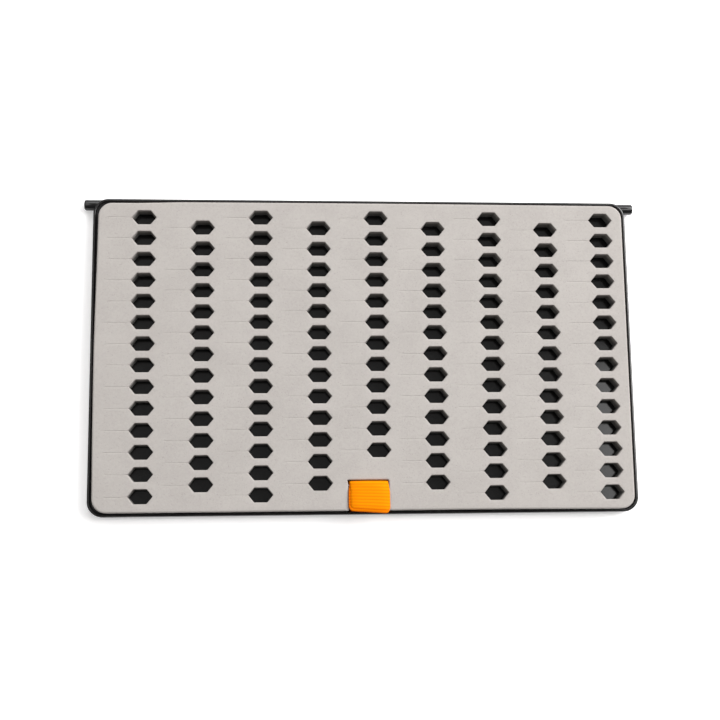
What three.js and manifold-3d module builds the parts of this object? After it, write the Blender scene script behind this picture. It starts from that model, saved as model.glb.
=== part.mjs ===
// Swing leaf of a pocket box for fishing jigs: a thin moulded tray that turns on two corner pins,
// a die-cut foam pad bonded into its front, and a doubled ribbon to lift it by.
// Millimetres. The leaf lies on its back: +Z points out of the pad, +Y to the hinge edge.
import * as THREE from 'three';
import { mergeVertices } from 'three/addons/utils/BufferGeometryUtils.js';
import Module from 'manifold-3d';

// Tray
const leafLength = 179.9; // along X, without the pins
const leafDepth = 105.4; // along Y, from the lifting edge to the hinge edge
const trayHeight = 4;
const cornerRadius = 5;
const edgeRound = 0.6; // on the tray's outer edges, front and back
const rimWidth = 1;
const rimHeight = 1; // above the floor that the pad is bonded to
const backLand = 3; // solid border of the back, at the sides and the lifting edge
const hingeLand = 6; // solid border along the hinge edge, which holds the pins
const ribWidth = 1.2;
const ribPitch = 34; // wanted distance between ribs; the cells are then made equal
const cellRadius = 2;

// Pins, moulded with the tray
const pinDiameter = 3.6;
const pinReach = 3.1; // beyond the tray's side
const pinRound = 0.6;
const pinSetback = 0.05; // from the hinge edge to the pin's side
const pinLift = 0.2; // from the tray's back to the pin's side
const pinRoot = 6; // how far the pin starts inside the tray's side

// Foam pad and the adhesive sheet cut with it
const padThickness = 5;
const sheetThickness = 0.2;
const padRadius = 4.4;
const padGapLeft = 1; // from the rim to the pad
const padGapRight = 1.5;
const padGapHinge = 1.3;
const padGapLift = 0.1;

// Pockets: six-sided, tips to left and right, with a slit running left from the left tip
const pocketLength = 8; // tip to tip
const pocketHeight = 4.7;
const pocketFlat = 4.2; // length of the upper and lower sides
const slitLength = 7.8;
const slitWidth = 0.1;
const columnPitch = 19.05;
const rowPitch = 7.05; // every other column has one pocket less and sits half a pitch lower
const sideMargin = 3; // least foam between the pattern and the pad's sides
const endMargin = 2.2; // least foam between the pattern and the pad's long edges
const notchMargin = 1.5; // least foam between a pocket and the ribbon's notch

// Ribbon: one length, folded in two, through a slot in the tray
const ribbonWidth = 13.4;
const ribbonThickness = 0.4;
const tabOffset = 0.2; // of the ribbon's middle from the tray's, along X
const notchReach = 10.86; // from the lifting edge to the notch's far side
const notchRadius = 0.5;
const ribbonGap = 0.3; // round the ribbon, in the notch and in the slot
const flapThickness = 1.2; // both plies and the air between them
const foldInset = 0.4; // from the lifting edge to the fold
const tailLength = 12; // behind the tray, from the slot
const tailLift = 0.4; // from the tray's back to the tail, so that the leaf still lies flat
const patchLength = 9.5; // of the adhesive patch that holds the tail
const patchMargin = 0.4; // from the patch's sides to the ribbon's edges

// Levels and places that follow from them
const pairThickness = 2 * ribbonThickness;
const patchZ = tailLift + pairThickness;
const webZ = patchZ + sheetThickness; // the back is hollowed just deep enough for the tail
const floorZ = trayHeight - rimHeight;
const padZ = floorZ + sheetThickness;
const padTopZ = padZ + padThickness;
const hingeEdgeY = leafDepth / 2;
const liftEdgeY = -leafDepth / 2;
const padLeftX = -leafLength / 2 + rimWidth + padGapLeft;
const padRightX = leafLength / 2 - rimWidth - padGapRight;
const padLength = padRightX - padLeftX;
const padMiddleX = (padLeftX + padRightX) / 2;
const padTopY = hingeEdgeY - rimWidth - padGapHinge;
const padLowY = liftEdgeY + rimWidth + padGapLift;
const padDepth = padTopY - padLowY;
const padMiddleY = (padTopY + padLowY) / 2;
const notchWidth = ribbonWidth + 2 * ribbonGap;
const notchTopY = liftEdgeY + notchReach;
const riserY = notchTopY - ribbonGap - pairThickness / 2;
const flapAxisZ = padTopZ + ribbonGap + flapThickness / 2;

const wasm = await Module();
wasm.setup();

function toSolid(geometry) {
  const bare = geometry.clone();
  bare.deleteAttribute('normal');
  bare.deleteAttribute('uv');
  const merged = mergeVertices(bare, 1e-5);
  return new wasm.Manifold(new wasm.Mesh({
    numProp: 3,
    vertProperties: Float32Array.from(merged.attributes.position.array),
    triVerts: Uint32Array.from(merged.index.array),
  }));
}

function toGeometry(solid) {
  const { vertProperties, triVerts } = solid.getMesh();
  const geometry = new THREE.BufferGeometry();
  geometry.setAttribute('position', new THREE.BufferAttribute(vertProperties, 3));
  geometry.setIndex(new THREE.BufferAttribute(triVerts, 1));
  geometry.computeVertexNormals();
  return geometry;
}

// An outline with round corners between x and y limits
function roundedOutline(x0, x1, y0, y1, radius) {
  const outline = new THREE.Shape();
  outline.absarc(x1 - radius, y1 - radius, radius, 0, Math.PI / 2);
  outline.absarc(x0 + radius, y1 - radius, radius, Math.PI / 2, Math.PI);
  outline.absarc(x0 + radius, y0 + radius, radius, Math.PI, Math.PI * 1.5);
  outline.absarc(x1 - radius, y0 + radius, radius, Math.PI * 1.5, Math.PI * 2);
  outline.closePath();
  return outline;
}

// A flat plate of that outline between two heights
function plate(outline, z0, z1, curveSegments = 6) {
  const geometry = new THREE.ExtrudeGeometry(outline, { depth: z1 - z0, bevelEnabled: false, curveSegments });
  return geometry.translate(0, 0, z0);
}

// A bar along X, centred on X = 0, whose section is drawn with its x along Y and its y along Z
function barAlongX(section, width, curveSegments = 6) {
  const geometry = new THREE.ExtrudeGeometry(section, { depth: width, bevelEnabled: false, curveSegments });
  const turn = new THREE.Matrix4().makeBasis(
    new THREE.Vector3(0, 1, 0),
    new THREE.Vector3(0, 0, 1),
    new THREE.Vector3(1, 0, 0),
  );
  return geometry.translate(0, 0, -width / 2).applyMatrix4(turn);
}

// Tray: a plate with rounded edges and two pins, hollowed from the front for the pad and from the
// back between ribs, and slotted for the ribbon
function trayBlank() {
  const outline = roundedOutline(-leafLength / 2, leafLength / 2, liftEdgeY, hingeEdgeY, cornerRadius);
  const blank = new THREE.ExtrudeGeometry(outline, {
    depth: trayHeight - 2 * edgeRound,
    bevelThickness: edgeRound,
    bevelSize: edgeRound,
    bevelOffset: -edgeRound,
    bevelSegments: 3,
    curveSegments: 8,
  });
  return toSolid(blank.translate(0, 0, edgeRound));
}

function pin(side) {
  const radius = pinDiameter / 2;
  const length = pinRoot + pinReach;
  const profile = [new THREE.Vector2(0, 0), new THREE.Vector2(radius, 0)];
  const steps = 3;
  for (let i = 0; i <= steps; i += 1) {
    const angle = (i / steps) * (Math.PI / 2);
    const r = radius - pinRound * (1 - Math.cos(angle));
    profile.push(new THREE.Vector2(r, length - pinRound * (1 - Math.sin(angle))));
  }
  profile.push(new THREE.Vector2(0, length));
  const turned = new THREE.LatheGeometry(profile, 24);
  turned.rotateZ(-side * Math.PI / 2);
  const startX = side * (leafLength / 2 - pinRoot);
  return toSolid(turned.translate(startX, hingeEdgeY - pinSetback - radius, pinLift + radius));
}

function backCells() {
  const x0 = -leafLength / 2 + backLand;
  const y0 = liftEdgeY + backLand;
  const across = leafLength - 2 * backLand;
  const along = leafDepth - backLand - hingeLand;
  const columns = 2 * Math.round((across / ribPitch - 1) / 2) + 1;
  const rows = Math.max(1, Math.round(along / ribPitch));
  const cellLength = (across - (columns - 1) * ribWidth) / columns;
  const cellDepth = (along - (rows - 1) * ribWidth) / rows;
  const cells = [];
  for (let i = 0; i < columns; i += 1) {
    for (let j = 0; j < rows; j += 1) {
      const x = x0 + i * (cellLength + ribWidth);
      const y = y0 + j * (cellDepth + ribWidth);
      const outline = roundedOutline(x, x + cellLength, y, y + cellDepth, cellRadius);
      cells.push(toSolid(plate(outline, -1, webZ, 4)));
    }
  }
  return cells;
}

function trayGeometry() {
  const rim = rimWidth;
  const well = roundedOutline(
    -leafLength / 2 + rim,
    leafLength / 2 - rim,
    liftEdgeY + rim,
    hingeEdgeY - rim,
    cornerRadius - rim,
  );
  const slot = roundedOutline(
    tabOffset - notchWidth / 2,
    tabOffset + notchWidth / 2,
    riserY - pairThickness / 2 - ribbonGap,
    notchTopY,
    notchRadius,
  );
  let tray = trayBlank().add(pin(1)).add(pin(-1));
  tray = tray.subtract(toSolid(plate(well, floorZ, trayHeight + 1, 8)));
  for (const cell of backCells()) tray = tray.subtract(cell);
  tray = tray.subtract(toSolid(plate(slot, 0, trayHeight, 3)));
  return toGeometry(tray);
}

// Pad outline: round corners, and a notch for the ribbon in the lifting edge
function padOutline() {
  const x0 = padLeftX;
  const x1 = padRightX;
  const left = tabOffset - notchWidth / 2;
  const right = tabOffset + notchWidth / 2;
  const outline = new THREE.Shape();
  outline.absarc(x1 - padRadius, padTopY - padRadius, padRadius, 0, Math.PI / 2);
  outline.absarc(x0 + padRadius, padTopY - padRadius, padRadius, Math.PI / 2, Math.PI);
  outline.absarc(x0 + padRadius, padLowY + padRadius, padRadius, Math.PI, Math.PI * 1.5);
  outline.lineTo(left, padLowY);
  outline.absarc(left + notchRadius, notchTopY - notchRadius, notchRadius, Math.PI, Math.PI / 2, true);
  outline.absarc(right - notchRadius, notchTopY - notchRadius, notchRadius, Math.PI / 2, 0, true);
  outline.lineTo(right, padLowY);
  outline.absarc(x1 - padRadius, padLowY + padRadius, padRadius, Math.PI * 1.5, Math.PI * 2);
  outline.closePath();
  return outline;
}

// Centres of all pockets, without those that would meet the notch
function pocketCentres() {
  const cellLength = pocketLength + slitLength;
  const columns = 1 + Math.floor((padLength - 2 * sideMargin - cellLength) / columnPitch);
  const fullRows = 1 + Math.floor((padDepth - 2 * endMargin - pocketHeight) / rowPitch);
  const centres = [];
  for (let i = 0; i < columns; i += 1) {
    const x = padMiddleX + slitLength / 2 + (i - (columns - 1) / 2) * columnPitch;
    const rows = fullRows - (i % 2);
    for (let j = 0; j < rows; j += 1) {
      const y = padMiddleY + ((rows - 1) / 2 - j) * rowPitch;
      const clearOfSide = x - pocketLength / 2 - slitLength > tabOffset + notchWidth / 2 + notchMargin
        || x + pocketLength / 2 < tabOffset - notchWidth / 2 - notchMargin;
      if (clearOfSide || y - pocketHeight / 2 > notchTopY + notchMargin) centres.push([x, y]);
    }
  }
  return centres;
}

function pocketHole(x, y, withSlit) {
  const tip = pocketLength / 2;
  const flat = pocketFlat / 2;
  const half = pocketHeight / 2;
  const mouth = slitWidth / 2;
  const mouthX = tip - (mouth / half) * (tip - flat);
  const points = [[flat, half], [tip, 0], [flat, -half], [-flat, -half]];
  if (withSlit) {
    const end = -tip - slitLength;
    points.push([-mouthX, -mouth], [end, -mouth], [end, mouth], [-mouthX, mouth]);
  } else {
    points.push([-tip, 0]);
  }
  points.push([-flat, half]);
  return new THREE.Path(points.map(([dx, dy]) => new THREE.Vector2(x + dx, y + dy)));
}

function padSheet(z0, z1, withSlits) {
  const outline = padOutline();
  for (const [x, y] of pocketCentres()) outline.holes.push(pocketHole(x, y, withSlits));
  return plate(outline, z0, z1);
}

// Fixed end of the ribbon: both plies lie behind the tray and rise through the slot
function tailSection() {
  const half = pairThickness / 2;
  const section = new THREE.Shape();
  section.moveTo(half + tailLength, tailLift);
  section.lineTo(half + tailLength, patchZ);
  section.lineTo(half, patchZ);
  section.lineTo(half, padTopZ);
  section.lineTo(-half, padTopZ);
  section.lineTo(-half, patchZ);
  section.absarc(half, patchZ, pairThickness, Math.PI, Math.PI * 1.5);
  section.closePath();
  return section;
}

// Free end of the ribbon, from the line it bends about to the fold
function flapSection() {
  const half = flapThickness / 2;
  const reach = riserY - liftEdgeY - foldInset - half;
  const section = new THREE.Shape();
  section.absarc(0, 0, half, -Math.PI / 2, Math.PI / 2);
  section.absarc(-reach, 0, half, Math.PI / 2, Math.PI * 1.5);
  section.closePath();
  return section;
}

const blackPlastic = new THREE.MeshStandardMaterial({ color: 0x161616, roughness: 0.38, metalness: 0 });
const greyFoam = new THREE.MeshStandardMaterial({ color: 0xc6c0bb, roughness: 0.9, metalness: 0 });
const adhesive = new THREE.MeshStandardMaterial({ color: 0xb9b5a8, roughness: 0.5, metalness: 0 });
const orangeRibbon = new THREE.MeshStandardMaterial({ color: 0xff8c0a, roughness: 0.75, metalness: 0 });

function piece(name, geometry, material) {
  const mesh = new THREE.Mesh(geometry, material);
  mesh.name = name;
  return mesh;
}

const patch = plate(
  roundedOutline(
    -ribbonWidth / 2 + patchMargin,
    ribbonWidth / 2 - patchMargin,
    pairThickness / 2 + ribbonGap + patchMargin,
    pairThickness / 2 + ribbonGap + patchMargin + patchLength,
    notchRadius,
  ),
  patchZ,
  webZ,
  3,
);

// The ribbon's pieces are placed from the line where it leaves the slot
const ribbonRoot = new THREE.Group();
ribbonRoot.position.set(tabOffset, riserY, 0);
ribbonRoot.add(piece('tab_tail', barAlongX(tailSection(), ribbonWidth), orangeRibbon));
ribbonRoot.add(piece('tab_adhesive', patch, adhesive));
const flap = piece('tab_loop', barAlongX(flapSection(), ribbonWidth), orangeRibbon);
flap.position.z = flapAxisZ;
ribbonRoot.add(flap);

const leaf = new THREE.Group();
leaf.add(piece('leaf_tray', trayGeometry(), blackPlastic));
leaf.add(piece('pad_adhesive', padSheet(floorZ, padZ, false), adhesive));
leaf.add(piece('foam_pad', padSheet(padZ, padTopZ, true), greyFoam));
leaf.add(ribbonRoot);

export default leaf;
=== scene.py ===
# Swing leaf of a pocket box for fishing jigs, lying on its back on a white table: a black moulded
# tray with two pins, a grey foam pad full of six-sided pockets bonded into it, and an orange
# ribbon to lift it by. Shapes are worked out in millimetres and put into the frame in metres.
import math

import bmesh
import bpy
import numpy as np
from mathutils import Matrix, Vector
from mathutils.geometry import delaunay_2d_cdt


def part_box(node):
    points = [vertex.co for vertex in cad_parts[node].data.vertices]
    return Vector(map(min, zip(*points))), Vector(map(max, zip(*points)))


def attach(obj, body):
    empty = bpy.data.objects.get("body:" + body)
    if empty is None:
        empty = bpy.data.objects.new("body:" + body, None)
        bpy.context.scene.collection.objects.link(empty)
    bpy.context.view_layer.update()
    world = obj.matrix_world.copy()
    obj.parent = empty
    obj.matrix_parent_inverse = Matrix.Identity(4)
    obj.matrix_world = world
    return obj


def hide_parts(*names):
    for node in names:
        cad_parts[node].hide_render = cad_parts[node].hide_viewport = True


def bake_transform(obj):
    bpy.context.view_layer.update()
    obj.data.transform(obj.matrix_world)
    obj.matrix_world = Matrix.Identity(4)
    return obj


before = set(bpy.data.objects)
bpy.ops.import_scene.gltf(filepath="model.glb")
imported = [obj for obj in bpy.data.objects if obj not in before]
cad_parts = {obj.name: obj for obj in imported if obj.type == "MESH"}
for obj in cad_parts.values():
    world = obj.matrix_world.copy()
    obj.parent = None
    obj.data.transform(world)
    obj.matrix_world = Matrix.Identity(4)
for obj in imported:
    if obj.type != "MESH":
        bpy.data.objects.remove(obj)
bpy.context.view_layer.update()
scene = bpy.context.scene
scene.view_settings.view_transform = "Standard"
MM = 0.001


def box_mm(node):
    """A CAD node's lowest and highest corner in millimetres."""
    low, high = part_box(node)
    return np.array(low) / MM, np.array(high) / MM


# Camera: held by hand over the leaf, a little to the left of its middle and towards its lifting
# edge, and not quite level.
camera_data = bpy.data.cameras.new("camera")
camera_data.sensor_width = 36
camera_data.lens = 62.2
camera_data.shift_x = -0.016
camera_data.clip_start = 0.01
camera_data.clip_end = 20
camera = bpy.data.objects.new("camera", camera_data)
camera.location = (-0.0313, -0.0705, 0.4086)
camera.rotation_euler = [math.radians(angle) for angle in (9.65, -4.56, -0.85)]
scene.collection.objects.link(camera)
scene.camera = camera


# Tray: black polystyrene moulded in one piece, with a low rim round the well that the pad lies in,
# a ribbed hollow back, a slot for the ribbon and a pin at each end of the hinge edge.
tray_low, tray_high = box_mm("leaf_tray")
pad_low, pad_high = box_mm("foam_pad")
pin_reach = 3.1
pin_radius = 1.8
pin_round = 0.6
pin_setback = 0.05
pin_lift = 0.2
leaf_half = tray_high[0] - pin_reach
corner_radius = 5
rim_width = 1
edge_round = 0.6
back_land = 3
hinge_land = 6
rib_width = 1.2
cell_columns = 5
cell_rows = 3
edge_land = 0.15  # flat ring beside a round, which keeps the shading there crisp
fillet_land = 0.2
floor_z = box_mm("pad_adhesive")[0][2]
web_z = box_mm("tab_adhesive")[1][2]
ribbon_thickness = 0.4
pair_thickness = 2 * ribbon_thickness
ribbon_gap = 0.3


def round_path(corners, radii, steps=6):
    """A closed path whose corners are turned by arcs. An arc's centre lies on the corner's
    bisector, radius / sin(half angle) away, and its points divide the turn evenly."""
    corners = np.array(corners, float)
    back = np.roll(corners, 1, axis=0) - corners
    ahead = np.roll(corners, -1, axis=0) - corners
    back /= np.linalg.norm(back, axis=1)[:, None]
    ahead /= np.linalg.norm(ahead, axis=1)[:, None]
    arcs = []
    for corner, a, b, radius in zip(corners, back, ahead, radii):
        if radius == 0:
            arcs.append(corner[None])
            continue
        half = math.acos(np.clip(a @ b, -1, 1)) / 2
        middle = corner + (a + b) / np.linalg.norm(a + b) * radius / math.sin(half)
        reach = radius / math.tan(half)
        turn = math.pi - 2 * half
        first, last = corner + a * reach - middle, corner + b * reach - middle
        angle = np.linspace(0, turn, steps + 1)[:, None]
        arc = np.sin(turn - angle) * first + np.sin(angle) * last
        arcs.append(middle + arc / math.sin(turn))
    return np.concatenate(arcs)


def box_path(x0, x1, y0, y1, radius, steps=6):
    """A rectangle with round corners, counter-clockwise."""
    return round_path([(x0, y0), (x1, y0), (x1, y1), (x0, y1)], [radius] * 4, steps)


def fine_path(path, spacing):
    """The closed path again, with its long stretches cut into equal parts of at most spacing."""
    after = np.roll(path, -1, axis=0)
    parts = np.maximum(1, np.ceil(np.linalg.norm(after - path, axis=1) / spacing)).astype(int)
    index = np.repeat(np.arange(len(path)), parts)
    step = np.arange(len(index)) - np.repeat(np.cumsum(parts) - parts, parts)
    share = (step / parts[index])[:, None]
    return path[index] * (1 - share) + after[index] * share


def outward(path):
    """Mitred normals of a closed counter-clockwise path: the sum of the two neighbouring edges'
    normals over 1 plus their dot product."""
    edge = np.roll(path, -1, axis=0) - path
    normal = np.stack([edge[:, 1], -edge[:, 0]], axis=1)
    normal /= np.linalg.norm(normal, axis=1)[:, None]
    before = np.roll(normal, 1, axis=0)
    return (normal + before) / (1 + (normal * before).sum(1))[:, None]


def carried(path, profile, scale=1.0):
    """Rings of a profile carried round a closed path: ring k is the path moved along its outward
    normals by offset k, times each point's scale, at height k."""
    profile = np.array(profile, float)
    normals = outward(path) * np.broadcast_to(scale, len(path))[:, None]
    flat = path[None] + profile[:, :1, None] * normals[None]
    height = np.broadcast_to(profile[:, 1][:, None, None], flat.shape[:2] + (1,))
    return np.concatenate([flat, height], axis=2)


def quarter(offset, height, radius, start, end, steps=4):
    """Profile points on an arc about (offset, height), from one angle to another in degrees."""
    angle = np.radians(np.linspace(start, end, steps + 1))
    return list(zip(offset + radius * np.cos(angle), height + radius * np.sin(angle)))


class Shell:
    """The faces of one piece: strips of rings round closed paths, and flat faces between loops."""

    def __init__(self):
        self.points = []
        self.faces = []
        self.count = 0

    def add(self, points, faces):
        self.points.append(points)
        self.faces += (np.asarray(faces) + self.count).tolist()
        self.count += len(points)

    def strip(self, rings):
        """Quads between each ring and the next, closed round."""
        rows, columns = rings.shape[:2]
        index = np.arange(rows * columns).reshape(rows, columns)
        beside = np.roll(index, -1, axis=1)
        quads = np.stack([index[:-1], beside[:-1], beside[1:], index[1:]], axis=-1)
        self.add(rings.reshape(-1, 3), quads.reshape(-1, 4))
        return rings

    def flat(self, outer, holes, height):
        """Triangles of the flat face inside the outer loop and outside the holes."""
        loops = [np.asarray(loop)[:, :2] for loop in (outer, *holes)]
        starts = np.cumsum([0] + [len(loop) for loop in loops])
        borders = [list(range(a, b)) for a, b in zip(starts[:-1], starts[1:])]
        triangles_without_holes = 2
        filled = delaunay_2d_cdt([Vector(p) for p in np.concatenate(loops)], [], borders,
                                 triangles_without_holes, 1e-7)
        flat = np.array([(p.x, p.y, height) for p in filled[0]])
        self.add(flat, filled[2])

    def build(self, name, material):
        """The mesh object in metres, its doubles merged, its faces turned outwards, its edges over
        40 degrees sharp."""
        mesh = bpy.data.meshes.new(name)
        mesh.from_pydata(np.concatenate(self.points), [], self.faces)
        work = bmesh.new()
        work.from_mesh(mesh)
        bmesh.ops.remove_doubles(work, verts=work.verts, dist=1e-4)
        bmesh.ops.delete(work, geom=[v for v in work.verts if not v.link_faces], context="VERTS")
        bmesh.ops.recalc_face_normals(work, faces=work.faces)
        work.to_mesh(mesh)
        work.free()
        mesh.transform(Matrix.Scale(MM, 4))
        mesh.shade_smooth()
        mesh.set_sharp_from_angle(angle=math.radians(40))
        mesh.materials.append(material)
        made = bpy.data.objects.new(name, mesh)
        scene.collection.objects.link(made)
        return made


class Shade:
    """One socket of a material's nodes. Sums and products on it add Math nodes."""

    def __init__(self, tree, socket=None):
        self.tree = tree
        self.socket = socket

    def node(self, kind, inputs=None, output=0, **settings):
        """Any node: its type, its inputs' values or links, and its settings, which are set first."""
        made = self.tree.nodes.new(kind)
        for name, value in settings.items():
            setattr(made, name, value)
        for name, value in (inputs or {}).items():
            if isinstance(value, Shade):
                self.tree.links.new(value.socket, made.inputs[name])
            else:
                made.inputs[name].default_value = value
        return Shade(self.tree, made.outputs[output])

    def math(self, operation, *others):
        return self.node("ShaderNodeMath", dict(enumerate((self, *others))), operation=operation)

    def mix(self, first, second):
        """The colour between two, by this socket's number."""
        both = {0: self, 6: (*first, 1) if isinstance(first, tuple) else first,
                7: (*second, 1) if isinstance(second, tuple) else second}
        return self.node("ShaderNodeMix", both, output=2, data_type="RGBA")

    def ramp(self, low, high):
        """0 below low, 1 above high, smooth between."""
        inputs = {"Value": self, "From Min": low, "From Max": high}
        return self.node("ShaderNodeMapRange", inputs, interpolation_type="SMOOTHSTEP")

    def noise(self, place, scale, detail):
        """A noise from 0 to 1 whose grains are 1 / scale metres wide."""
        return self.node("ShaderNodeTexNoise", {"Vector": place, "Scale": scale, "Detail": detail})

    def bump(self, height, distance, strength):
        inputs = {"Height": height, "Distance": distance, "Strength": strength}
        return self.node("ShaderNodeBump", inputs)

    def __add__(self, other):
        return self.math("ADD", other)

    def __sub__(self, other):
        return self.math("SUBTRACT", other)

    def __rsub__(self, other):
        return self * -1 + other

    def __mul__(self, other):
        return self.math("MULTIPLY", other)

    __radd__ = __add__


def new_material(name):
    """A material, the Shade that adds its nodes, the place on the piece, and its surface shader."""
    material = bpy.data.materials.new(name)
    material.use_nodes = True
    nodes = Shade(material.node_tree)
    place = nodes.node("ShaderNodeTexCoord", output="Object")
    return material, nodes, place, material.node_tree.nodes["Principled BSDF"]


def feed(shader, **inputs):
    """Sets or links a surface shader's inputs; an underscore stands for a space."""
    for name, value in inputs.items():
        socket = shader.inputs[name.replace("_", " ")]
        if isinstance(value, Shade):
            value.tree.links.new(value.socket, socket)
        else:
            socket.default_value = value


def black_plastic():
    """Polished round the rim and in the well, finely textured on the back, with faint rub marks."""
    material, nodes, place, shader = new_material("black_plastic")
    height = nodes.node("ShaderNodeSeparateXYZ", {0: place}, output=2)
    back = 1 - height.ramp(1.45 * MM, 1.9 * MM)
    cloud = nodes.noise(place, 60, 3)
    stretched = nodes.node("ShaderNodeMapping", {"Vector": place, "Scale": (60, 900, 60)})
    marks = nodes.noise(stretched, 1, 3).ramp(0.62, 0.75) * 0.04
    grain = nodes.noise(place, 5000, 2) * back
    feed(shader, Base_Color=cloud.mix((0.0060, 0.0060, 0.0064), (0.0100, 0.0095, 0.0095)),
         Roughness=0.10 + cloud * 0.07 + marks + back * 0.3, IOR=1.5,
         Normal=nodes.bump(grain + nodes.noise(place, 250, 1) * 0.15, 0.02 * MM, 0.5))
    return material


def tray_rim(shell, outline):
    """The rim's profile carried round the tray: back land, outer rounds, top, inner wall, fillet."""
    top, r = tray_high[2], edge_round
    inner_round, fillet = 0.35, 0.25
    back_ring = 2.5
    profile = [(-back_ring, 0), (-r - edge_land, 0)]
    profile += quarter(-r, r, r, -90, 0, 6)
    profile += quarter(-r, top - r, r, 0, 90, 6)
    profile += quarter(inner_round - rim_width, top - inner_round, inner_round, 90, 180, 3)
    profile += quarter(-rim_width - fillet, floor_z + fillet, fillet, 0, -90, 4)
    profile += [(-rim_width - fillet - fillet_land, floor_z)]
    return shell.strip(carried(outline, profile))


def back_cell(shell, path, slot):
    """A hollow of the back: rounded lip, drafted wall, fillet, and a floor with an ejector mark."""
    lip, draft, fillet = 0.25, 0.08, 0.45
    profile = [(lip + edge_land, 0)]
    profile += quarter(lip, lip, lip, -90, -180, 3)
    profile += quarter(-draft - fillet, web_z - fillet, fillet, 0, 90, 4)
    profile += [(-draft - fillet - fillet_land, web_z)]
    rings = shell.strip(carried(path, profile))
    mark_radius, mark_depth, mark_draft, mark_land = 2, 0.07, 0.04, 0.25
    middle = (path.max(0) + path.min(0)) / 2
    angle = np.linspace(0, 2 * math.pi, 33)[:-1]
    circle = middle + np.stack([np.cos(angle), np.sin(angle)], axis=1) * mark_radius
    bottom = web_z + mark_depth
    steps = [(edge_land, web_z), (0, web_z), (-mark_draft, bottom), (-mark_land, bottom)]
    mark = shell.strip(carried(circle, steps))
    shell.flat(mark[-1], [], bottom)
    shell.flat(rings[-1], [mark[0]] + slot, web_z)
    return rings[0]


def tray_pin(shell, side):
    """A pin's surface: circles round its axis, from the rim's curve, which the root follows inside
    the plastic, to the end, where the radius shrinks along a quarter circle."""
    root_depth, end_ring = 0.7, 0.7
    centre_x, centre_y = leaf_half - corner_radius, tray_high[1] - corner_radius
    axis_y = tray_high[1] - pin_setback - pin_radius
    axis_z = pin_lift + pin_radius
    angle = np.linspace(0, 2 * math.pi, 49)[:-1]
    across, up = np.cos(angle), np.sin(angle)
    inside = (corner_radius - root_depth) ** 2 - (axis_y + pin_radius * across - centre_y) ** 2
    root = centre_x + np.sqrt(np.maximum(inside, 0))
    turn = np.radians(np.linspace(0, 90, 7))
    rounded = pin_radius - pin_round * (1 - np.cos(turn))
    radius = np.concatenate([[0, pin_radius, pin_radius], rounded, [end_ring, 0]])
    end = tray_high[0] - pin_round * (1 - np.sin(turn))
    along = np.concatenate([[root.mean(), 0, leaf_half], end, [tray_high[0]] * 2])
    x = np.broadcast_to(along[:, None], (len(along), len(angle))).copy()
    x[1] = root
    ring = np.stack([side * x, axis_y + radius[:, None] * across, axis_z + radius[:, None] * up], axis=2)
    shell.strip(ring)


def ribbon_slot(shell):
    """The slot through the tray's floor for both plies of the ribbon, with a round lip each side."""
    tail_low, tail_high = box_mm("tab_tail")
    near, far = tail_low[1] - ribbon_gap, tail_low[1] + pair_thickness + ribbon_gap
    path = box_path(tail_low[0] - ribbon_gap, tail_high[0] + ribbon_gap, near, far, 0.5, 4)
    lip = 0.2
    profile = [(lip + edge_land, floor_z)] + quarter(lip, floor_z - lip, lip, 90, 180, 3)
    profile += quarter(lip, web_z + lip, lip, 180, 270, 3) + [(lip + edge_land, web_z)]
    return shell.strip(carried(path, profile))


def make_tray():
    shell = Shell()
    edge = box_path(-leaf_half, leaf_half, tray_low[1], tray_high[1], corner_radius, 14)
    rings = tray_rim(shell, fine_path(edge, 12))
    slot = ribbon_slot(shell)
    shell.flat(rings[-1], [slot[0]], floor_z)
    cell_corner = 2
    x0, y0 = -leaf_half + back_land, tray_low[1] + back_land
    length = (2 * leaf_half - 2 * back_land - (cell_columns - 1) * rib_width) / cell_columns
    depth = (tray_high[1] - hinge_land - y0 - (cell_rows - 1) * rib_width) / cell_rows
    lips = []
    for i in range(cell_columns):
        for j in range(cell_rows):
            x, y = x0 + i * (length + rib_width), y0 + j * (depth + rib_width)
            cell = box_path(x, x + length, y, y + depth, cell_corner, 6)
            slot_here = [slot[-1]] if (i, j) == (cell_columns // 2, 0) else []
            lips.append(back_cell(shell, cell, slot_here))
    shell.flat(rings[0], lips, 0)
    for side in (-1, 1):
        tray_pin(shell, side)
    return shell.build("tray", black_plastic())


tray = make_tray()
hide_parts("leaf_tray")
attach(tray, "leaf")


# Adhesive: clear film on the back of the pad, die-cut with it, and a patch of the same film that
# holds the ribbon's tail behind the tray.
def film():
    """Clear film that has picked up a little dust."""
    material, nodes, place, shader = new_material("clear_film")
    dust = nodes.noise(place, 900, 3)
    feed(shader, Base_Color=dust.mix((0.05, 0.05, 0.048), (0.12, 0.118, 0.11)),
         Roughness=0.25 + dust * 0.3, Normal=nodes.bump(dust, 0.02 * MM, 0.4))
    return material


for node in ("pad_adhesive", "tab_adhesive"):
    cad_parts[node].data.materials.clear()
    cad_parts[node].data.materials.append(film())


# Pad: closed-cell foam 5 mm thick, die-cut in one stroke with its pockets and the slits that lead
# out of them, and bonded into the tray. Its sides give way a little between the tray's corners.
pocket_tip, pocket_flat, pocket_half = 4.0, 2.1, 2.35
slit_length = 7.8
slit_points = 9
columns, rows_in_a_column = 9, 14
column_pitch, row_pitch = 19.05, 7.05
chance = np.random.default_rng(7)


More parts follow.
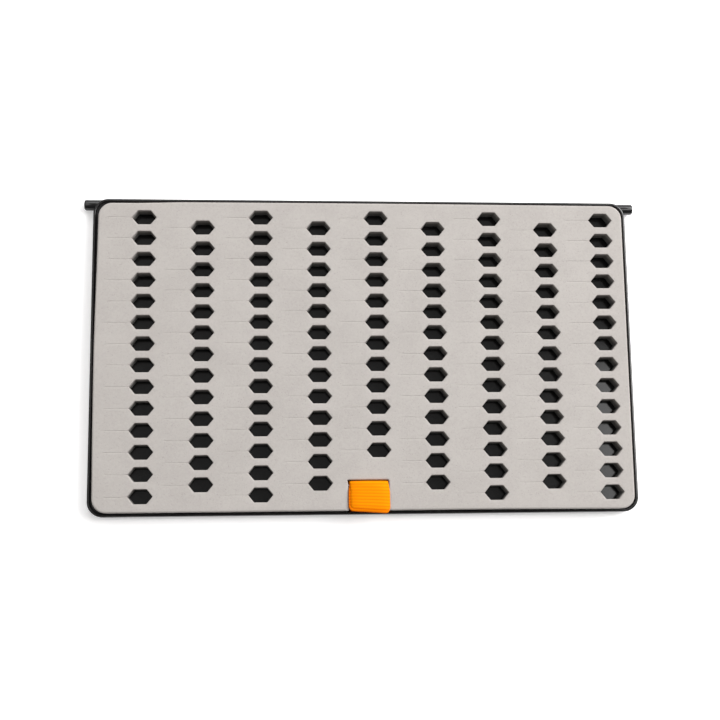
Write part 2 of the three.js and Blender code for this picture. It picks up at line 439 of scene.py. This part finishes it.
def foam_grain():
    """Fine cells, a few open pores, painted shade in them and on the pocket walls, darkest deep down."""
    material, nodes, place, shader = new_material("grey_foam")
    x, y, z = (nodes.node("ShaderNodeSeparateXYZ", {0: place}, output=axis) for axis in range(3))
    # Painted shade: the pocket walls, away from the pad's outer sides, darken towards the bottom of the
    # pockets.
    inset = 1.9 * MM
    inside = x.math("ABSOLUTE").math("LESS_THAN", pad_high[0] * MM - inset)
    inside = inside * y.math("LESS_THAN", pad_high[1] * MM - inset)
    inside = inside * y.math("GREATER_THAN", pad_low[1] * MM + inset)
    top = pad_high[2] * MM
    pocket_shade = (1 - z.ramp(top - 3.2 * MM, top - 0.1 * MM)) * inside
    cells = nodes.node("ShaderNodeTexVoronoi", {"Vector": place, "Scale": 4200.0}, output="Distance")
    pores = 1 - nodes.noise(place, 2600, 1).ramp(0.28, 0.36)
    cloud = nodes.noise(place, 90, 3)
    fine = nodes.noise(place, 1500, 2)
    tone = (cloud * 0.5 + fine * 0.5).ramp(0.3, 0.7).mix((0.372, 0.347, 0.328), (0.410, 0.384, 0.363))
    # Painted shade: the foam's colour is darkened in its open pores.
    tone_with_pore_shade = (pores * 0.4).mix(tone, (0.24, 0.22, 0.21))
    feed(shader, Base_Color=pocket_shade.mix(tone_with_pore_shade, (0.17, 0.163, 0.156)), Roughness=0.92,
         Specular_IOR_Level=0.25,
         Normal=nodes.bump(cells * 0.6 + fine - pores * 1.5, 0.06 * MM, 0.45))
    return material


def pocket(x, y):
    """One pocket with its slit: six corners, the right one a tip, the left one the slit's mouth.
    The slit wanders a little and is not always equally open. Gives the path and, at each point,
    how wide and how deep its lip is: the upper lips are crisp, the lower ones are drawn down."""
    mouth = chance.uniform(0.003, 0.010)
    drift, bow = chance.uniform(-0.12, 0.12, 2)
    end = -pocket_tip - slit_length + chance.uniform(-0.5, 0.3)
    mouth_x = -pocket_tip + (mouth / pocket_half) * (pocket_tip - pocket_flat)
    slit_x = np.linspace(mouth_x, end, slit_points)
    share = np.linspace(0, 1, slit_points)
    middle = drift * share + bow * np.sin(share * math.pi)
    gap = mouth * (1 - 0.4 * share)
    f, h = pocket_flat, pocket_half
    upper = np.stack([slit_x, middle + gap], axis=1).tolist()
    lower = np.stack([slit_x, middle - gap], axis=1)[::-1].tolist()
    corners = [(-f, -h), (f, -h), (pocket_tip, 0), (f, h), (-f, h)] + upper + lower
    side_round, tip_round = 0.45, 0.25
    radii = [side_round, side_round, tip_round, side_round, side_round] + [0] * 2 * slit_points
    path = round_path(corners, radii, 3)
    along_slit = np.clip((mouth_x - path[:, 0]) / 0.8, 0, 1)
    lower_lip = np.arange(len(path)) >= len(path) - slit_points
    lower = np.where(along_slit > 0, lower_lip, np.clip(-1.2 - path[:, 1], 0, 1))
    width = 0.8 - 0.6 * along_slit + lower * (1.6 + 0.4 * along_slit)
    depth = 0.8 - 0.65 * along_slit + lower * (0.5 * along_slit - 0.35)
    return path + chance.normal(0, 0.03, 2) + (x, y), width, depth


def pockets():
    """Nine columns, every other one a pocket shorter, and the middle one without the two in the
    ribbon's way. Laid by hand, the pad is stretched by 0.2 percent, and its rows are tilted a
    little and bowed by a parabola a quarter of a millimetre deep."""
    stretch = 1.002
    middle_x, middle_y = (pad_low[:2] + pad_high[:2]) / 2
    middle_column = columns // 2
    made = []
    for i in range(columns):
        rows = rows_in_a_column - i % 2
        left_out = 2 if i == middle_column else 0
        for j in range(rows - left_out):
            x = middle_x + slit_length / 2 + (i - middle_column) * column_pitch
            y = middle_y + ((rows - 1) / 2 - j) * row_pitch
            bow = 0.12 - 0.25 * (x / 80) ** 2 + 0.065 * x / 80
            made.append(pocket(x * stretch, y + bow))
    return made


def pad_outline(notch_low, notch_high, notch_top):
    """Round corners and a notch for the ribbon. The foam bulges by slow cosines at the left and
    the hinge edge, draws back at its upper left corner, is pushed out a little at its lower right
    one, and leans on the ribbon from the left. Each shift fades in over the last few millimetres
    towards its edge."""
    x0, y0, x1, y1 = pad_low[0], pad_low[1], pad_high[0], pad_high[1]
    corners = [(x0, y0), (notch_low, y0), (notch_low, notch_top), (notch_high, notch_top),
               (notch_high, y0), (x1, y0), (x1, y1), (x0, y1)]
    pad_round, notch_round = 4.4, 0.5
    radii = [pad_round, 0, notch_round, notch_round, 0, pad_round, pad_round, pad_round]
    path = fine_path(round_path(corners, radii, 10), 1.2)
    x, y = path.T.copy()
    fade = 6
    near_side = np.clip(np.abs(x) - 80, 0, fade) / fade
    near_hinge = np.clip(y - 40, 0, fade) / fade
    near_lift = np.clip(-40 - y, 0, fade) / fade
    upper = np.clip(y / 30, 0, 1)
    middle = np.cos(np.clip(y, -50, 50) / 100 * math.pi)
    path[:, 0] += np.where(x < 0, 0.15 + 0.25 * upper - 0.4 * middle, 0) * near_side
    path[:, 1] += (0.1 * np.cos(x / 120 * math.pi) - 0.35 * np.clip((-x - 60) / 15, 0, 1)) * near_hinge
    path[:, 1] -= 0.25 * np.clip((x - 45) / 35, 0, 1) * near_lift
    beside_notch = (np.abs(x - notch_low) < 0.01) & (y < notch_top)
    path[:, 0] += 0.5 * beside_notch * (1 - np.exp(-(notch_top - y) / 1.2))
    return path


def make_pad():
    shell = Shell()
    bottom, top = pad_low[2], pad_high[2]
    tail_low, tail_high = box_mm("tab_tail")
    squeeze = 0.25
    notch_top = tail_low[1] + pair_thickness + ribbon_gap
    outline = pad_outline(tail_low[0] - ribbon_gap, tail_high[0] - squeeze, notch_top)
    edge, edge_ring, bottom_ring, waist = 0.5, 0.25, 0.9, 0.14
    profile = [(-bottom_ring, bottom)]
    for t in (0, 0.25, 0.5, 0.75):
        profile.append((-waist * math.sin(t * math.pi), bottom + t * (top - edge - bottom)))
    profile += quarter(-edge, top - edge, edge, 0, 90, 5) + [(-edge - edge_ring, top)]
    side = shell.strip(carried(outline, profile))
    lip, lip_ring, bottom_ring = 0.32, 0.12, 0.1
    profile = [(bottom_ring, bottom), (0, bottom), (0, (bottom + top) / 2)]
    profile += quarter(lip, top - lip, lip, 180, 90, 4) + [(lip + lip_ring, top)]
    rings = []
    for path, width, depth in pockets():
        wall = carried(path, profile, width)
        wall[3:, :, 2] = top - (top - wall[3:, :, 2]) * depth
        rings.append(shell.strip(wall))
    shell.flat(side[-1], [wall[-1] for wall in rings], top)
    shell.flat(side[0], [wall[0] for wall in rings], bottom)
    return shell.build("pad", foam_grain())


pad = make_pad()
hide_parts("foam_pad")
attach(pad, "leaf")


# Ribbon: one length of ribbed orange ribbon, folded in two. Both ends are taped behind the tray,
# both plies come up through the slot and the notch, and the fold is the end to pull.
rib_pitch = 1.0
ribbon_reach = 9.6  # from the slot out to the fold


def ribbon_line():
    """The ribbon's middle line in (y, z): in along the back, up, out over the pad, round the fold
    and back the same way beside itself, with every corner turned by an arc, at even steps."""
    tail_low, tail_high = box_mm("tab_tail")
    loop_low, loop_high = box_mm("tab_loop")
    half = ribbon_thickness / 2
    tail_end = tail_high[1]
    near, far = tail_low[1] + pair_thickness - half, tail_low[1] + half
    inner_z, outer_z = tail_low[2] + pair_thickness - half, tail_low[2] + half
    over, under = loop_high[2] - half, loop_low[2] + half
    fold = loop_low[1] + half
    slope_length, slope_drop = 1.5, 0.32
    corners = [(tail_end, inner_z), (near, inner_z), (near, over), (fold + slope_length, over),
               (fold, over - slope_drop), (fold, under), (far, under), (far, outer_z),
               (tail_end, outer_z)]
    radii = [0, 0.35, 1.1, 2.5, 0.22, 0.22, 0.4, 0.75, 0]
    line = round_path(corners, radii, 12)
    length = np.concatenate([[0], np.cumsum(np.linalg.norm(np.diff(line, axis=0), axis=1))])
    at = np.linspace(0, length[-1], 560)
    return np.stack([np.interp(at, length, line[:, k]) for k in range(2)], axis=1), at


def ribbon_points(line, at, width, middle_x):
    """The section, a flat oval with ribs, carried along the line. The fold is skewed, with round
    corners. The edges droop, most where the ribbon arches out of the slot, and the upper ply lies
    a little to the right of the lower one."""
    half, soft_edge = ribbon_thickness / 2, 0.4
    across = np.linspace(-1, 1, 33) * (width / 2 - soft_edge)
    rim = np.radians(np.linspace(90, -90, 9))[1:-1]
    edge = width / 2 - soft_edge + soft_edge * np.cos(rim)
    u = np.concatenate([across, edge, across[::-1], -edge])
    side = np.concatenate([np.ones(33), np.sin(rim), -np.ones(33), -np.sin(rim)])
    step = np.gradient(line, axis=0)
    step /= np.linalg.norm(step, axis=1)[:, None]
    normal = np.stack([step[:, 1], -step[:, 0]], axis=1)
    rib = np.abs(np.sin(at / rib_pitch * math.pi)) ** 0.6
    thick = half * (0.78 + 0.22 * rib)
    y = line[:, :1] + normal[:, :1] * thick[:, None] * side
    z = line[:, 1:] + normal[:, 1:] * thick[:, None] * side
    slot_y = box_mm("tab_tail")[0][1] + pair_thickness / 2
    out = np.clip((slot_y - y) / ribbon_reach, 0, None)
    lean = u / (width / 2)
    skew, corner_depth = 0.045, 0.7
    y = np.where(y < slot_y, slot_y - (slot_y - y) * (1 + skew * lean), y)
    corner = np.clip((np.abs(lean) - 0.84) / 0.16, 0, 1) ** 2 * np.clip((out - 0.7) / 0.3, 0, 1)
    y = y + corner_depth * corner
    high = np.clip((z - 6.0) / 2.2, 0, 1)
    arch = high * np.exp(-((out * ribbon_reach) / 2.2) ** 2)
    turned = np.clip((at[:, None] - at[-1] / 2) / 1.8 + 0.5, 0, 1)
    z = z - arch * 1.1 * np.abs(lean) ** 2.4
    z = z - (0.61 - 0.59 * turned) * np.abs(lean) ** 4 * np.clip(out * 3, 0, 1)
    swing = high * np.clip(out * ribbon_reach / 3, 0, 1) ** 0.8
    x = middle_x + u * (1 - 0.02 * arch) + (0.4 - 0.65 * turned) * swing
    points = np.stack([np.broadcast_to(x, y.shape), y, z], axis=2)
    inner = np.broadcast_to(side < 0, y.shape)
    return points, rib, inner, u


def woven():
    """Weft ribs and fine warp threads, painted shade in the rib valleys, inside and at the fold."""
    material, nodes, _, shader = new_material("orange_ribbon")
    where = nodes.node("ShaderNodeUVMap", uv_map="length")
    rib = nodes.node("ShaderNodeAttribute", attribute_name="rib", output="Fac")
    fold_and_inner_shade = nodes.node("ShaderNodeAttribute", attribute_name="fold_and_inner_shade", output="Fac")
    across = nodes.node("ShaderNodeSeparateXYZ", {0: where}, output=0)
    warp_pitch = 0.28
    warp = (across * (2 * math.pi / warp_pitch)).math("SINE") * 0.5 + 0.5
    fuzz = nodes.noise(where, 5, 3)
    # Painted shade: the colour darkens in the valleys between the ribs.
    tone = (rib * 0.8 + fuzz * 0.3 + warp * 0.08 - fold_and_inner_shade * 0.55).ramp(-0.2, 1.05)
    feed(shader, Base_Color=tone.mix((0.60, 0.10, 0.0), (0.84, 0.25, 0.0)),
         Roughness=0.8, Specular_IOR_Level=0.05,
         Normal=nodes.bump(warp * 0.5 + fuzz * 0.5, 0.03 * MM, 0.6))
    return material


def make_ribbon():
    tail_low, tail_high = box_mm("tab_tail")
    askew = 0.7  # how much wider the CAD pieces are, as the plies lie askew
    width = tail_high[0] - tail_low[0] - askew
    line, at = ribbon_line()
    points, rib, inner, u = ribbon_points(line, at, width, (tail_low[0] + tail_high[0]) / 2)
    rows, columns = points.shape[:2]
    index = np.arange(rows * columns).reshape(rows, columns)
    beside = np.roll(index, -1, axis=1)
    quads = np.stack([index[:-1], beside[:-1], beside[1:], index[1:]], axis=-1)
    ends = [index[0].tolist(), index[-1][::-1].tolist()]
    mesh = bpy.data.meshes.new("ribbon")
    mesh.from_pydata(points.reshape(-1, 3) * MM, [], quads.reshape(-1, 4).tolist() + ends)
    uv = mesh.uv_layers.new(name="length")
    loops = np.zeros(len(mesh.loops), np.int32)
    mesh.loops.foreach_get("vertex_index", loops)
    flat = np.stack([np.tile(u, rows), np.repeat(at, columns)], axis=1)
    uv.data.foreach_set("uv", flat[loops].astype(np.float32).ravel())
    # Painted shade: the colour darkens round the fold and on the ribbon's inner face.
    fold = np.exp(-((at[:, None] - at[-1] / 2) / 1.2) ** 2)
    fold_and_inner_shade = np.clip(fold + inner, 0, 1)
    for kind, values in (("rib", np.repeat(rib, columns)), ("fold_and_inner_shade", fold_and_inner_shade.ravel())):
        data = mesh.attributes.new(kind, "FLOAT", "POINT").data
        data.foreach_set("value", values.astype(np.float32))
    work = bmesh.new()
    work.from_mesh(mesh)
    bmesh.ops.recalc_face_normals(work, faces=work.faces)
    work.to_mesh(mesh)
    work.free()
    mesh.shade_smooth()
    mesh.materials.append(woven())
    made = bpy.data.objects.new("ribbon", mesh)
    scene.collection.objects.link(made)
    return made


ribbon = make_ribbon()
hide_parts("tab_tail", "tab_loop")
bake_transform(ribbon)


# Table and light: a white table that glows a little, which is painted light that pales the shadows
# on it. The main light is wide and comes from the right, a window shows in the floors of the last
# pockets, and two weaker lights and a pale room fill the shadows.
def table_top():
    under, half = -0.05 * MM, 3
    corners = [(-half, -half, under), (half, -half, under), (half, half, under), (-half, half, under)]
    mesh = bpy.data.meshes.new("table_top")
    mesh.from_pydata(corners, [], [(0, 1, 2, 3)])
    material, nodes, place, shader = new_material("white_table")
    tone = nodes.noise(place, 3, 2)
    # Painted light: the table's surface glows, which pales the shadows cast on it.
    feed(shader, Base_Color=tone.mix((0.93, 0.925, 0.925), (0.95, 0.945, 0.945)), Roughness=0.8,
         Emission_Color=(1, 0.99, 0.985, 1), Emission_Strength=0.40)
    mesh.materials.append(material)
    made = bpy.data.objects.new("table_top", mesh)
    scene.collection.objects.link(made)


def soft_light(name, place, aim, size, power):
    data = bpy.data.lights.new(name, "AREA")
    data.shape, data.size, data.size_y = "RECTANGLE", size[0], size[1]
    data.energy = power
    made = bpy.data.objects.new(name, data)
    made.location = place
    made.rotation_euler = (Vector(aim) - Vector(place)).to_track_quat("-Z", "Y").to_euler()
    scene.collection.objects.link(made)


table_top()
soft_light("right_side", (1.20, 0.54, 1.20), (0, 0, 0), (1.05, 1.05), 41)
soft_light("hinge_side", (0.10, 0.75, 0.65), (0, 0, 0), (0.9, 0.5), 4.5)
soft_light("window", (0.285, -0.02, 0.50), (0.08, -0.04, 0), (0.22, 0.15), 0.33)
soft_light("left_side", (-0.40, 0.13, 0.75), (-0.40, 0.13, 0), (0.3, 0.6), 0.9)
world = bpy.data.worlds.new("room")
world.use_nodes = True
room = Shade(world.node_tree)
heading = room.node("ShaderNodeTexCoord", output="Generated")
towards_hinge = room.node("ShaderNodeSeparateXYZ", {0: heading}, output=1)
background = world.node_tree.nodes["Background"]
background.inputs["Color"].default_value = (1, 0.99, 0.98, 1)
glow = 0.13 + towards_hinge.ramp(-0.5, 0.6) * 0.3
world.node_tree.links.new(glow.socket, background.inputs["Strength"])
scene.world = world
